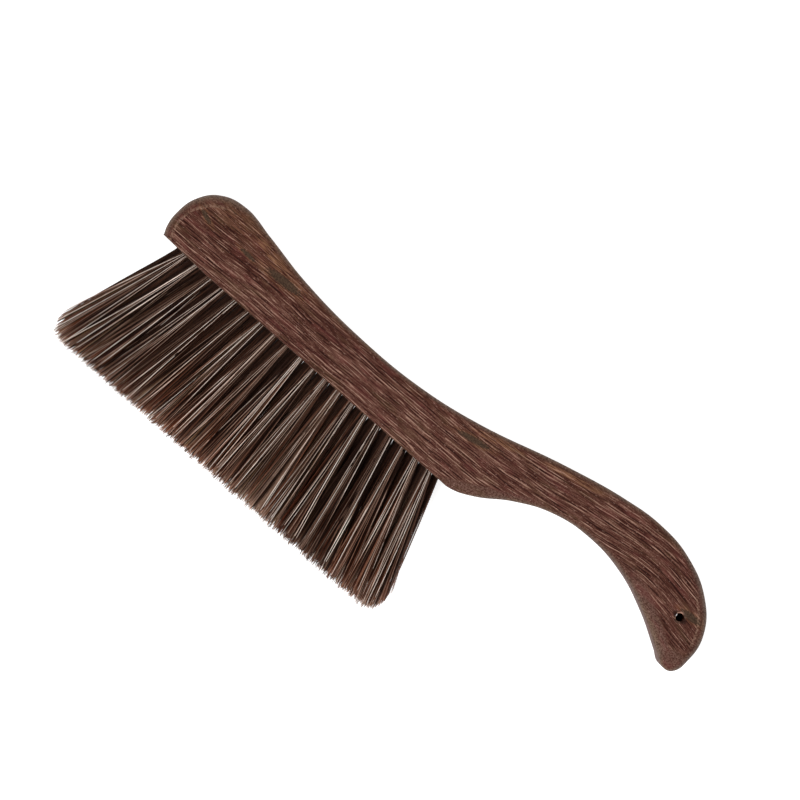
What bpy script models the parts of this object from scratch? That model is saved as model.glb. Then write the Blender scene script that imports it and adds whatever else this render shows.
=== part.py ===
"""Neck duster brush: a one-piece hardwood stock and handle, set with three rows of bristle tufts.

The brush lies on its flat side. +X runs from the head to the tail of the handle, +Y from the
bristle tips to the back of the handle, and +Z up through the thickness of the wood. Shapes are
laid out from the base face, where the tufts come out of the wood (X = 0 at its head end,
Y = 0), and the whole brush is then moved so that the origin is under its centre.
"""

import math

import bmesh
import bpy
from mathutils import Matrix, Vector

MM = 0.001
GAP = 0.3 * MM                       # clearance between pieces that touch on the real brush

# Wooden body: outline seen from the flat side, clockwise from the head's lower corner.
# Each point is (x, y, kind) in millimetres. Kind "smooth" lets the edge flow through the point,
# and "corner" gives it straight-running sides.
THICKNESS = 28 * MM
HEAD = (
    (-8.8, 1.2, "corner"),
    (-10.6, 6.0, "smooth"),
    (-11.3, 13.5, "smooth"),
    (-8.6, 26.0, "smooth"),
    (0.0, 35.5, "smooth"),
    (14.0, 39.0, "smooth"),
)
BACK = (
    (31.0, 36.2, "smooth"),
    (61.0, 30.6, "smooth"),
    (104.0, 27.5, "smooth"),
    (141.0, 28.9, "smooth"),
    (174.0, 34.4, "smooth"),
    (222.0, 47.6, "smooth"),
    (256.0, 54.8, "smooth"),
    (277.0, 56.6, "smooth"),
)
TAIL = (
    (298.0, 53.6, "smooth"),
    (318.0, 43.7, "smooth"),
    (330.0, 29.2, "smooth"),
    (332.6, 15.0, "smooth"),
    (330.0, 5.2, "smooth"),
    (325.0, 3.2, "smooth"),
    (318.0, 6.9, "smooth"),
)
UNDERSIDE = (
    (300.0, 17.1, "smooth"),
    (279.0, 25.3, "smooth"),
    (255.0, 28.2, "smooth"),
    (231.0, 24.7, "smooth"),
    (213.0, 16.4, "smooth"),
    (196.0, 5.0, "smooth"),
    (184.0, 0.2, "smooth"),
    (177.0, 0.0, "corner"),
    (20.0, 0.0, "corner"),
)
OUTLINE_RESOLUTION = 4               # straight pieces per outline stretch

# Roundover of the rim, on both flat sides
ROUND_CROWN = 7.0 * MM               # over the top of the head
ROUND_ENDS = 5.3 * MM                # around the rest of the head, and the tail
ROUND_BACK = 4.0 * MM                # along the back and the underside of the handle
ROUND_TAIL_TIP = 2.4 * MM
ROUND_BASE_EDGE = 0.5 * MM           # the base face keeps a crisp edge
ROUND_SEGMENTS = 3
HEAD_ROUND_ENDS = 24 * MM            # the head's wide roundover fades out by here
CROWN_STARTS = 12 * MM               # heights over which the head's roundover widens
CROWN_FULL = 32 * MM
TAIL_ROUND_STARTS = 285 * MM
TAIL_ROUND_FULL = 315 * MM
TAIL_TIP = Vector((325 * MM, 3.2 * MM))
TAIL_TIP_REACH = 14 * MM
BASE_FACE_END = 184 * MM
BASE_FACE_LEVEL = 1.1 * MM           # the outline is on the base face below this
BASE_ROUND_RISE = 8 * MM             # height over which the underside's roundover grows
SHARP_TURN = 0.3                     # sine of the turn that makes an outline point a corner

# Hole for hanging the brush up, through the thickness near the tail
HANG_HOLE = Vector((314.2 * MM, 27.8 * MM))
HANG_HOLE_DIAMETER = 4.2 * MM
COUNTERSINK_DIAMETER = 6.4 * MM
COUNTERSINK_DEPTH = 1.1 * MM
HANG_HOLE_SIDES = 24

# Tufts, in three rows. Each outer row has one tuft fewer, set between those of the middle row.
MIDDLE_ROW_TUFTS = 21
ROWS = 3
MIDDLE_ROW = 1
TUFT_DIAMETER = 4.4 * MM             # at the base face
TUFT_HOLE_DEPTH = 11 * MM
TUFT_DEPTH = 9.8 * MM                # how deep the folded tuft sits in its hole
FIRST_TUFT_X = 1.6 * MM              # the middle row's first tuft
TUFT_PITCH = 8.67 * MM
ROW_SPACING = 7.0 * MM
TIP_PITCH = 10.45 * MM               # the same spacing at the trimmed tips, where the tufts fan out
TIP_ROW_SPACING = THICKNESS / ROWS
BRISTLE_LENGTH = 73 * MM             # from the base face to the trimmed tips
TIP_CORNER_RADIUS = 6 * MM           # rounding at both ends of the trimmed face
TUFT_SIDES = 12
HOLE_SIDES = 12
HOLE_CUTTER_STANDS_OUT = 4 * MM
# Sections of a tuft: (distance from the base face as a share of the bristle length, how far the
# bundle has opened out towards its neighbours)
TUFT_SECTIONS = ((0.0, 0.0), (0.14, 0.6), (0.36, 0.94), (1.0, 1.0))
SQUARENESS_AT_TIP = 6.0              # superellipse power; 2 is round
DOUBLE_TUFTS = (9, 12)               # middle row tufts that share a solid with the next one
PAIR_OVERLAP = 0.2 * MM              # how far the two bundles of a double tuft run together

# Anchor: the flat wire that holds a folded tuft at the bottom of its hole and bites into the wood
ANCHOR_LENGTH = 5.8 * MM
ANCHOR_HEIGHT = 1.6 * MM
ANCHOR_WIRE = 0.5 * MM
ANCHOR_FROM_BOTTOM = 1.4 * MM        # from the tuft's lower end to the middle of the anchor

WOOD = {"colour": (0.115, 0.048, 0.034, 1.0), "roughness": 0.42, "metallic": 0.0}
BRISTLE = {"colour": (0.045, 0.027, 0.020, 1.0), "roughness": 0.5, "metallic": 0.0}


def clear_scene():
    for obj in list(bpy.data.objects):
        bpy.data.objects.remove(obj, do_unlink=True)
    for group in list(bpy.data.collections):
        bpy.data.collections.remove(group)


def new_collection(name):
    group = bpy.data.collections.new(name)
    bpy.context.scene.collection.children.link(group)
    return group


def new_material(name, colour, roughness, metallic):
    material = bpy.data.materials.new(name)
    material.use_nodes = True
    shader = material.node_tree.nodes["Principled BSDF"]
    shader.inputs["Base Color"].default_value = colour
    shader.inputs["Roughness"].default_value = roughness
    shader.inputs["Metallic"].default_value = metallic
    material.diffuse_color = colour
    return material


def new_object(name, bm, group, material=None):
    """Puts a bmesh into a named object."""
    bmesh.ops.recalc_face_normals(bm, faces=bm.faces)
    mesh = bpy.data.meshes.new(name)
    bm.to_mesh(mesh)
    bm.free()
    obj = bpy.data.objects.new(name, mesh)
    group.objects.link(obj)
    if material:
        mesh.materials.append(material)
    return obj


def ease(start, end, value):
    """0 before start, 1 after end, and a smooth ramp between them."""
    t = min(max((value - start) / (end - start), 0.0), 1.0)
    return t * t * (3.0 - 2.0 * t)


def mix(a, b, share):
    return a + (b - a) * share


# The wooden body

def outline_curve(group):
    """The body's outline as a closed Bezier curve in its lower flat side's plane."""
    points = HEAD + BACK + TAIL + UNDERSIDE
    curve = bpy.data.curves.new("outline", "CURVE")
    curve.dimensions = "2D"
    curve.fill_mode = "NONE"
    curve.resolution_u = OUTLINE_RESOLUTION
    spline = curve.splines.new("BEZIER")
    spline.use_cyclic_u = True
    spline.bezier_points.add(len(points) - 1)
    for knot, (x, y, kind) in zip(spline.bezier_points, points):
        knot.co = (x * MM, y * MM, 0.0)
        handle_type = "AUTO" if kind == "smooth" else "VECTOR"
        knot.handle_left_type = handle_type
        knot.handle_right_type = handle_type
    obj = bpy.data.objects.new("outline", curve)
    group.objects.link(obj)
    return obj


def outline_corners(group):
    """The outline's corner points in order, read from the evaluated curve."""
    obj = outline_curve(group)
    evaluated = obj.evaluated_get(bpy.context.evaluated_depsgraph_get())
    mesh = bpy.data.meshes.new_from_object(evaluated)
    corners = [vert.co.to_2d() for vert in mesh.vertices]
    bpy.data.objects.remove(obj, do_unlink=True)
    bpy.data.meshes.remove(mesh)
    return corners


def roundover(point):
    """How wide the rim is rounded at a place on the outline."""
    if point.y < BASE_FACE_LEVEL and point.x < BASE_FACE_END:
        return ROUND_BASE_EDGE
    at_head = 1.0 - ease(0.0, HEAD_ROUND_ENDS, point.x)
    at_tail = ease(TAIL_ROUND_STARTS, TAIL_ROUND_FULL, point.x)
    width = mix(ROUND_BACK, ROUND_ENDS, max(at_head, at_tail))
    width = mix(width, ROUND_CROWN, at_head * ease(CROWN_STARTS, CROWN_FULL, point.y))
    near_tip = 1.0 - ease(0.0, TAIL_TIP_REACH, (point - TAIL_TIP).length)
    width = mix(width, ROUND_TAIL_TIP, near_tip)
    if point.y < BASE_ROUND_RISE and BASE_FACE_END <= point.x < TAIL_ROUND_STARTS:
        width = mix(ROUND_BASE_EDGE, width, ease(0.0, BASE_ROUND_RISE, point.y))
    return width


def inward_normal(start, end):
    """The normal of an outline piece, towards the wood: the outline runs clockwise."""
    along = (end - start).normalized()
    return Vector((along.y, -along.x))


def full_inset(before, corner, after):
    """How far a corner moves inwards to reach the flat side, across the whole roundover."""
    normal_before = inward_normal(before, corner)
    normal_after = inward_normal(corner, after)
    width_before = roundover((before + corner) / 2)
    width_after = roundover((corner + after) / 2)
    turn = normal_before.cross(normal_after)
    if abs(turn) < SHARP_TURN:
        normal = (normal_before + normal_after).normalized()
        return normal * (width_before + width_after) / 2
    x = (width_before * normal_after.y - width_after * normal_before.y) / turn
    y = (width_after * normal_before.x - width_before * normal_after.x) / turn
    return Vector((x, y))


def body_rings(corners):
    """Level rings up through the thickness: the rim's roundover, the side wall, the roundover."""
    insets = []
    widths = []
    for index, corner in enumerate(corners):
        before = corners[index - 1]
        after = corners[(index + 1) % len(corners)]
        insets.append(full_inset(before, corner, after))
        widths.append((roundover((before + corner) / 2) + roundover((corner + after) / 2)) / 2)
    lower = []
    for step in range(ROUND_SEGMENTS + 1):
        angle = math.pi / 2 * step / ROUND_SEGMENTS
        ring = []
        for corner, inset, width in zip(corners, insets, widths):
            place = corner + inset * (1.0 - math.sin(angle))
            ring.append(Vector((place.x, place.y, width * (1.0 - math.cos(angle)))))
        lower.append(ring)
    upper = [[Vector((p.x, p.y, THICKNESS - p.z)) for p in ring] for ring in reversed(lower)]
    return lower + upper


def make_body(group, scratch, material):
    """The solid body. Its roundover changes around the rim, so it is lofted through level rings."""
    bm = bmesh.new()
    rings = [[bm.verts.new(place) for place in ring] for ring in body_rings(outline_corners(scratch))]
    for low, high in zip(rings, rings[1:]):
        for index in range(len(low)):
            bm.faces.new((low[index - 1], low[index], high[index], high[index - 1]))
    bm.faces.new(rings[0])
    bm.faces.new(rings[-1])
    return new_object("stock_and_handle", bm, group, material)


def hang_hole_cutters(group):
    """The hanging hole and its countersinks, as one straight cutter and two cones."""
    middle = HANG_HOLE.to_3d() + Vector((0.0, 0.0, THICKNESS / 2))
    bm = bmesh.new()
    bmesh.ops.create_cone(
        bm, cap_ends=True, segments=HANG_HOLE_SIDES, depth=2 * THICKNESS,
        radius1=HANG_HOLE_DIAMETER / 2, radius2=HANG_HOLE_DIAMETER / 2,
        matrix=Matrix.Translation(middle),
    )
    new_object("hang_hole_cutter", bm, group)
    slope = (COUNTERSINK_DIAMETER - HANG_HOLE_DIAMETER) / 2 / COUNTERSINK_DEPTH
    wide = COUNTERSINK_DIAMETER / 2 + slope * COUNTERSINK_DEPTH
    for side, z in (("low", 0.0), ("high", THICKNESS)):
        flip = Matrix.Rotation(math.pi, 4, "X") if side == "high" else Matrix()
        place = Matrix.Translation(HANG_HOLE.to_3d() + Vector((0.0, 0.0, z))) @ flip
        bm = bmesh.new()
        bmesh.ops.create_cone(
            bm, cap_ends=True, segments=HANG_HOLE_SIDES, depth=2 * COUNTERSINK_DEPTH,
            radius1=wide, radius2=HANG_HOLE_DIAMETER / 2, matrix=place,
        )
        new_object("countersink_cutter_" + side, bm, group)


# The tufts

def tuft_places():
    """Where the tufts stand: (row, number in the row, x, z) at the base face."""
    places = []
    for row in range(ROWS):
        outer = row != MIDDLE_ROW
        count = MIDDLE_ROW_TUFTS - 1 if outer else MIDDLE_ROW_TUFTS
        start = FIRST_TUFT_X + (TUFT_PITCH / 2 if outer else 0.0)
        z = THICKNESS / 2 + (row - MIDDLE_ROW) * ROW_SPACING
        for number in range(count):
            places.append((row, number, start + number * TUFT_PITCH, z))
    return places


def tip_place(x, z):
    """Where a tuft rooted at x, z has its tip: the rows fan out along X and a little along Z."""
    middle_x = FIRST_TUFT_X + (MIDDLE_ROW_TUFTS - 1) / 2 * TUFT_PITCH
    tip_x = middle_x + (x - middle_x) * TIP_PITCH / TUFT_PITCH
    tip_z = THICKNESS / 2 + (z - THICKNESS / 2) * TIP_ROW_SPACING / ROW_SPACING
    return tip_x, tip_z


def trimmed_length(x):
    """The bristle length at x: flat, and rounded off at both ends of the brush."""
    half_row = (MIDDLE_ROW_TUFTS - 1) / 2
    middle_x = FIRST_TUFT_X + half_row * TUFT_PITCH
    half_length = (half_row + 0.5) * TIP_PITCH
    past = abs(x - middle_x) - (half_length - TIP_CORNER_RADIUS)
    if past <= 0.0:
        return BRISTLE_LENGTH
    past = min(past, TIP_CORNER_RADIUS)
    return BRISTLE_LENGTH - TIP_CORNER_RADIUS + math.sqrt(TIP_CORNER_RADIUS ** 2 - past ** 2)


def tuft_axis(x, z):
    """A tuft's direction per metre down from the base face, as (x, z) slopes."""
    tip_x, tip_z = tip_place(x, z)
    return (tip_x - x) / BRISTLE_LENGTH, (tip_z - z) / BRISTLE_LENGTH


def tuft_ring(bm, x, z, share, opening, widen_low, widen_high):
    """One section across a tuft, from a round bundle to a rounded square at its tip."""
    slope_x, slope_z = tuft_axis(x, z)
    drop = share * BRISTLE_LENGTH
    half_x = (mix(TUFT_PITCH, TIP_PITCH, share) - GAP) / 2
    half_z = (mix(ROW_SPACING, TIP_ROW_SPACING, share) - GAP) / 2
    radius = TUFT_DIAMETER / 2
    power = 2.0 / mix(2.0, SQUARENESS_AT_TIP, opening)
    ring = []
    for step in range(TUFT_SIDES):
        angle = 2 * math.pi * (step + 0.5) / TUFT_SIDES
        across = math.copysign(abs(math.cos(angle)) ** power, math.cos(angle))
        up = math.copysign(abs(math.sin(angle)) ** power, math.sin(angle))
        widen = widen_high if across > 0 else widen_low
        px = x + slope_x * drop + across * mix(radius, half_x + widen, opening)
        pz = z + slope_z * drop + up * mix(radius, half_z, opening)
        py = -drop * trimmed_length(px) / BRISTLE_LENGTH if share > 0 else -drop
        ring.append(bm.verts.new((px, py, pz)))
    return ring


def tuft_bundle(x, z, widen_low=0.0, widen_high=0.0):
    """A tuft's closed outer shape, from its folded end in the hole to its trimmed tips."""
    bm = bmesh.new()
    levels = ((-TUFT_DEPTH / BRISTLE_LENGTH, 0.0),) + TUFT_SECTIONS
    rings = [tuft_ring(bm, x, z, *level, widen_low, widen_high) for level in levels]
    for near, far in zip(rings, rings[1:]):
        for step in range(TUFT_SIDES):
            after = (step + 1) % TUFT_SIDES
            bm.faces.new((near[step], near[after], far[after], far[step]))
    bm.faces.new(rings[0])
    bm.faces.new(rings[-1])
    return bm


def axis_frame(x, z, depth):
    """A frame on a tuft's axis, at a depth into the wood, with its own Z along the hole."""
    slope_x, slope_z = tuft_axis(x, z)
    inward = Vector((-slope_x, 1.0, -slope_z)).normalized()
    across = Vector((0.0, 0.0, 1.0))
    side = across.cross(inward).normalized()
    across = inward.cross(side)
    turn = Matrix((side, across, inward)).transposed().to_4x4()
    start = Vector((x, 0.0, z))
    return Matrix.Translation(start + inward * depth) @ turn


def anchor_block(x, z, clearance):
    """The flat anchor wire across the fold of a tuft, or its pocket in the wood."""
    bm = bmesh.new()
    sizes = (ANCHOR_WIRE, ANCHOR_LENGTH, ANCHOR_HEIGHT)
    scale = Matrix.Diagonal([size + 2 * clearance for size in sizes] + [1.0])
    place = axis_frame(x, z, TUFT_DEPTH - ANCHOR_FROM_BOTTOM)
    bmesh.ops.create_cube(bm, size=1.0, matrix=place @ scale)
    return bm


def hole_block(x, z):
    """The drilled hole of one tuft, standing out past the base face."""
    bm = bmesh.new()
    place = axis_frame(x, z, (TUFT_HOLE_DEPTH - HOLE_CUTTER_STANDS_OUT) / 2)
    radius = TUFT_DIAMETER / 2 + GAP
    bmesh.ops.create_cone(
        bm, cap_ends=True, segments=HOLE_SIDES, depth=TUFT_HOLE_DEPTH + HOLE_CUTTER_STANDS_OUT,
        radius1=radius, radius2=radius, matrix=place,
    )
    return bm


def join_with(obj, tool):
    modifier = obj.modifiers.new("with " + tool.name, "BOOLEAN")
    modifier.operation = "UNION"
    modifier.solver = "EXACT"
    modifier.object = tool


def make_single_tuft(name, place, group, cutters, material):
    x, z = place
    tuft = new_object(name, tuft_bundle(x, z), group, material)
    join_with(tuft, new_object(name + "_anchor", anchor_block(x, z, 0.0), cutters))
    return tuft


def make_double_tuft(name, first, second, group, cutters, material):
    """Two neighbouring tufts whose bristles run together, each with its own root and anchor."""
    reach = (GAP + PAIR_OVERLAP) / 2
    tuft = new_object(name, tuft_bundle(*first, widen_high=reach), group, material)
    partner = tuft_bundle(*second, widen_low=reach)
    join_with(tuft, new_object(name + "_partner", partner, cutters))
    for label, place in (("first", first), ("second", second)):
        anchor = new_object(name + "_anchor_" + label, anchor_block(*place, 0.0), cutters)
        join_with(tuft, anchor)
    return tuft


def make_tufts(group, cutters, material):
    """All tufts, one by one, but for the middle row's two double tufts in mid-length."""
    tufts = []
    places = tuft_places()
    for row, side in enumerate(("lower", "middle", "upper")):
        roots = [(x, z) for place_row, _, x, z in places if place_row == row]
        doubles = DOUBLE_TUFTS if row == MIDDLE_ROW else ()
        for number, root in enumerate(roots, start=1):
            if number - 1 in doubles:
                continue
            if number in doubles:
                name = f"{side}_row_double_tuft_{number:02d}_{number + 1:02d}"
                tuft = make_double_tuft(name, root, roots[number], group, cutters, material)
            else:
                tuft = make_single_tuft(f"{side}_row_tuft_{number:02d}", root, group, cutters, material)
            tufts.append(tuft)
    return tufts


def tuft_hole_cutters(group):
    for row, number, x, z in tuft_places():
        name = f"tuft_hole_{row + 1}_{number + 1:02d}"
        new_object(name, hole_block(x, z), group)
        new_object(name + "_anchor_pocket", anchor_block(x, z, GAP), group)


# The whole brush

def cut_body(body, holes):
    modifier = body.modifiers.new("holes", "BOOLEAN")
    modifier.operation = "DIFFERENCE"
    modifier.solver = "EXACT"
    modifier.operand_type = "COLLECTION"
    modifier.collection = holes


def hide(group):
    for obj in group.objects:
        obj.hide_render = True
        obj.display_type = "WIRE"


def centre_on_origin(objects):
    """Parents every piece to one empty, moved so that the origin is under the brush's centre."""
    bpy.context.view_layer.update()
    graph = bpy.context.evaluated_depsgraph_get()
    corners = []
    for obj in objects:
        corners += [Vector(corner) for corner in obj.evaluated_get(graph).bound_box]
    low = [min(corner[axis] for corner in corners) for axis in range(3)]
    high = [max(corner[axis] for corner in corners) for axis in range(3)]
    base = bpy.data.objects.new("base_face", None)
    bpy.context.scene.collection.objects.link(base)
    base.location = (-(low[0] + high[0]) / 2, -(low[1] + high[1]) / 2, -low[2])
    for obj in bpy.data.objects:
        if obj != base and obj.parent is None:
            obj.parent = base


def main():
    clear_scene()
    brush = new_collection("neck_duster_brush")
    tuft_parts = new_collection("cutters_tuft_parts")
    holes = new_collection("cutters_holes")
    wood = new_material("dark_hardwood", **WOOD)
    bristle = new_material("natural_bristle", **BRISTLE)
    body = make_body(brush, tuft_parts, wood)
    hang_hole_cutters(holes)
    tuft_hole_cutters(holes)
    cut_body(body, holes)
    tufts = make_tufts(brush, tuft_parts, bristle)
    hide(tuft_parts)
    hide(holes)
    body.data.shade_smooth()
    body.data.set_sharp_from_angle(angle=math.radians(35))
    centre_on_origin([body] + tufts)


main()
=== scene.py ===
import math

import bmesh
import bpy
import numpy as np
from mathutils import Matrix, Vector


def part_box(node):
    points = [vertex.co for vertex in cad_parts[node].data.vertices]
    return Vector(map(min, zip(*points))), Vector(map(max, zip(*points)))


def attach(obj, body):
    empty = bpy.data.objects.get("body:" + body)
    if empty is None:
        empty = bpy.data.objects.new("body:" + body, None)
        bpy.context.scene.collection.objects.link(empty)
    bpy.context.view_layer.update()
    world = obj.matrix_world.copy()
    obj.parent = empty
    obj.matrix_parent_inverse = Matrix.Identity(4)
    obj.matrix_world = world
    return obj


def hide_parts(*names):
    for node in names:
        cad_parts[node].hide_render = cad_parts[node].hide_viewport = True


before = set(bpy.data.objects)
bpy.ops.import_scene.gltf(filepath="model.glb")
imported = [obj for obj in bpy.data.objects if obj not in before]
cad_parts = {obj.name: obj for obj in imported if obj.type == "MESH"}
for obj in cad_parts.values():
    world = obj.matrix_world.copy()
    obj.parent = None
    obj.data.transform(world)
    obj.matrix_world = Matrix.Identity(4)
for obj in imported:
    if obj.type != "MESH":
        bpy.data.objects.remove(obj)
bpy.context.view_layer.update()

MM = 0.001
BODY = "root"

# The wooden body's outline, as the CAD has it: x and y in millimetres from the head end of the
# base face, clockwise from the head's lower corner. It is smooth but for three corners.
HEAD = ((-8.8, 1.2), (-10.6, 6.0), (-11.3, 13.5), (-8.6, 26.0), (0.0, 35.5), (14.0, 39.0))
BACK = (
    (31.0, 36.2), (61.0, 30.6), (104.0, 27.5), (141.0, 28.9), (174.0, 34.4), (222.0, 47.6),
    (256.0, 54.8), (277.0, 56.6),
)
TAIL = (
    (298.0, 53.6), (318.0, 43.7), (330.0, 29.2), (332.6, 15.0), (330.0, 5.2), (325.0, 3.2),
    (318.0, 6.9),
)
UNDERSIDE = (
    (300.0, 17.1), (279.0, 25.3), (255.0, 28.2), (231.0, 24.7), (213.0, 16.4), (196.0, 5.0),
    (184.0, 0.2), (177.0, 0.0), (20.0, 0.0),
)
CORNERS = (HEAD[0], *UNDERSIDE[-2:])
OUTLINE_RESOLUTION = 14
TAIL_END_X = 332.6 * MM
BACK_TOP_Y = 56.6 * MM

wood_low, wood_high = (Vector(corner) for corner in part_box("stock_and_handle"))
BASE = Vector((wood_high.x - TAIL_END_X, wood_high.y - BACK_TOP_Y, wood_low.z))
THICKNESS = wood_high.z - wood_low.z

# How wide the wood's rim is rounded
ROUND_CROWN = 7.0 * MM  # over the top of the head
ROUND_ENDS = 5.3 * MM  # around the rest of the head, and the tail
ROUND_BACK = 4.0 * MM  # along the back and the underside
ROUND_TAIL_TIP = 2.4 * MM
ROUND_BASE_EDGE = 0.5 * MM
ROUND_SEGMENTS = 9
HEAD_ROUND_ENDS = 24 * MM
CROWN_STARTS = 12 * MM
CROWN_FULL = 32 * MM
TAIL_ROUND_STARTS = 285 * MM
TAIL_ROUND_FULL = 315 * MM
TAIL_TIP = Vector((325 * MM, 3.2 * MM))
TAIL_TIP_REACH = 14 * MM
BASE_FACE_END = 184 * MM
BASE_FACE_LEVEL = 1.1 * MM
BASE_ROUND_RISE = 8 * MM
CREASE_ANGLE = math.radians(13)  # how steeply the head's and tail's roundover leaves the flat
HEAD_CREASE_FADES = 8 * MM
SHARP_TURN = 0.3  # sine of the turn from which a corner has two sides
SHARP_EDGE = math.radians(11)  # edges that turn more are shaded as sharp

HANG_HOLE = Vector((314.2 * MM, 27.8 * MM))
HANG_HOLE_DIAMETER = 4.2 * MM
COUNTERSINK_DIAMETER = 6.4 * MM
COUNTERSINK_DEPTH = 1.1 * MM
HANG_HOLE_SIDES = 48
WELD_DISTANCE = 0.01 * MM

# Tufts, in three rows. Each outer row has one tuft fewer, set between those of the middle row.
ROWS = 3
MIDDLE_ROW = 1
MIDDLE_ROW_TUFTS = 21
FIRST_TUFT_X = 1.6 * MM
TUFT_PITCH = 8.67 * MM
MIDDLE_X = FIRST_TUFT_X + (MIDDLE_ROW_TUFTS - 1) / 2 * TUFT_PITCH
ROW_SPACING = 7.0 * MM
DOUBLE_TUFTS = (9, 12)  # each of these shares a CAD node with the next one
TUFT_DIAMETER = 4.4 * MM
TUFT_DEPTH = 9.8 * MM
TUFT_HOLE_DEPTH = 11 * MM
TUFT_HOLE_CLEARANCE = 0.3 * MM
TUFT_HOLE_SIDES = 24

# The tips of the bristles
BRISTLE_LENGTH = 73 * MM
TIP_PITCH = 10.45 * MM
OUTER_TIP_PITCH = 10.97 * MM  # the outer rows have one tuft fewer in the same length
TIP_ROW_SPACING = THICKNESS / ROWS
ROWS_MINGLE = 1.35  # how far the tips spread into the next row
TIPS_REACH = MIDDLE_ROW_TUFTS / 2 * TIP_PITCH - 0.9 * MM  # from the middle to either end
TIP_CORNER_RADIUS = 8 * MM
LONGEST_OVERHANG = 2.0 * MM  # how far a bristle may stand past the trimmed length


def ease(start, end, value):
    """0 before start, 1 after end, and a smooth ramp between them."""
    t = min(max((value - start) / (end - start), 0.0), 1.0)
    return t * t * (3.0 - 2.0 * t)


def mix(a, b, share):
    return a + (b - a) * share


def link(name, data):
    """A new object of the scene."""
    obj = bpy.data.objects.new(name, data)
    bpy.context.scene.collection.objects.link(obj)
    return obj


def add_object(name, mesh, material):
    mesh.materials.append(material)
    return link(name, mesh)


def srgb(red, green, blue):
    """A colour given as 0 to 255 display values, as the linear numbers a shader takes."""
    shares = (value / 255.0 for value in (red, green, blue))
    linear = (s / 12.92 if s <= 0.04045 else ((s + 0.055) / 1.055) ** 2.4 for s in shares)
    return (*linear, 1.0)


# Shader helpers

class Shader:
    """A material's node tree, with one short call for each kind of node."""

    def __init__(self, name):
        self.material = bpy.data.materials.new(name)
        self.material.use_nodes = True
        self.tree = self.material.node_tree
        self.inputs = self.tree.nodes["Principled BSDF"].inputs

    def node(self, kind, *values, **settings):
        """A new node, with the values or other nodes' outputs in its first sockets."""
        node = self.tree.nodes.new(kind)
        for key, value in settings.items():
            setattr(node, key, value)
        for value, socket in zip(values, node.inputs):
            self.join(value, socket)
        return node

    def join(self, value, socket):
        if isinstance(value, bpy.types.NodeSocket):
            self.tree.links.new(value, socket)
        elif isinstance(value, tuple):
            socket.default_value = srgb(*value)
        else:
            socket.default_value = value

    def math(self, operation, a, b=0.0, clamp=False):
        return self.node("ShaderNodeMath", a, b, operation=operation, use_clamp=clamp).outputs[0]

    def add(self, a, b, clamp=False):
        return self.math("ADD", a, b, clamp)

    def subtract(self, a, b):
        return self.math("SUBTRACT", a, b)

    def multiply(self, *values):
        product = values[0]
        for value in values[1:]:
            product = self.math("MULTIPLY", product, value)
        return product

    def weighted(self, *terms):
        """The sum of (value, weight) pairs."""
        total = None
        for value, weight in terms:
            part = self.multiply(value, weight)
            total = part if total is None else self.add(total, part)
        return total

    def squares(self, a, b):
        return self.add(self.multiply(a, a), self.multiply(b, b))

    def between(self, share, a, b):
        """Value a where the share is 0, and value b where it is 1."""
        return self.add(self.multiply(b, share), self.multiply(a, self.subtract(1.0, share)))

    def around(self, value, height):
        """A noise value as a swing to both sides of 0."""
        return self.multiply(self.subtract(value, 0.5), height)

    def split(self, vector):
        return self.node("ShaderNodeSeparateXYZ", vector).outputs

    def noise(self, place, size, detail=1.0, roughness=0.5):
        """Noise whose marks have the given size in the three directions of the place."""
        shares = [self.math("DIVIDE", value, length) for value, length in zip(place, size)]
        stretched = self.node("ShaderNodeCombineXYZ", *shares).outputs[0]
        node = self.node("ShaderNodeTexNoise", stretched)
        node.inputs["Scale"].default_value = 1.0
        node.inputs["Detail"].default_value = detail
        node.inputs["Roughness"].default_value = roughness
        return node.outputs["Fac"]

    def ramp(self, value, low, high, to_low=0.0, to_high=1.0):
        """to_low up to low, to_high from high on, and a smooth change between them."""
        values = (value, low, high, to_low, to_high)
        return self.node("ShaderNodeMapRange", *values, interpolation_type="SMOOTHSTEP").outputs[0]

    def colours(self, value, positions, colours):
        node = self.node("ShaderNodeValToRGB", value)
        elements = node.color_ramp.elements
        while len(elements) < len(positions):
            elements.new(0.5)
        for element, position, colour in zip(elements, positions, colours):
            element.position = position
            element.color = srgb(*colour)
        return node.outputs[0]

    def blend(self, share, a, b):
        """Colour a where the share is 0, and colour b where it is 1."""
        node = self.node("ShaderNodeMix", share, data_type="RGBA")
        self.join(a, node.inputs[6])
        self.join(b, node.inputs[7])
        return node.outputs[2]

    def place(self):
        """Where the surface is, as x, y and z in millimetres from the base face's head end."""
        coordinates = self.node("ShaderNodeTexCoord").outputs["Object"]
        shift = self.node("ShaderNodeVectorMath", coordinates, BASE, operation="SUBTRACT")
        scale = self.node("ShaderNodeVectorMath", shift.outputs[0], operation="SCALE")
        scale.inputs["Scale"].default_value = 1.0 / MM
        return self.split(scale.outputs[0])


# The wood's material. Lengths are in millimetres from the head end of the base face, and colours
# are display values. A range is where a ramp starts and ends, and sometimes its values there.

TONE_STOPS = (0.0, 0.30, 0.55, 0.80, 1.0)
WOOD_COLOURS = ((36, 12, 7), (58, 27, 19), (80, 47, 38), (108, 75, 63), (150, 116, 100))
WOOD_ROUGHNESS = (0.62, 0.48)  # of the darkest and of the palest grain
WOOD_SPECULAR = 0.06
RELIEF_DEPTH = 0.12 * MM
RELIEF_STRENGTH = 0.3
RELIEF_OF_TONE = 0.6

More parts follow.
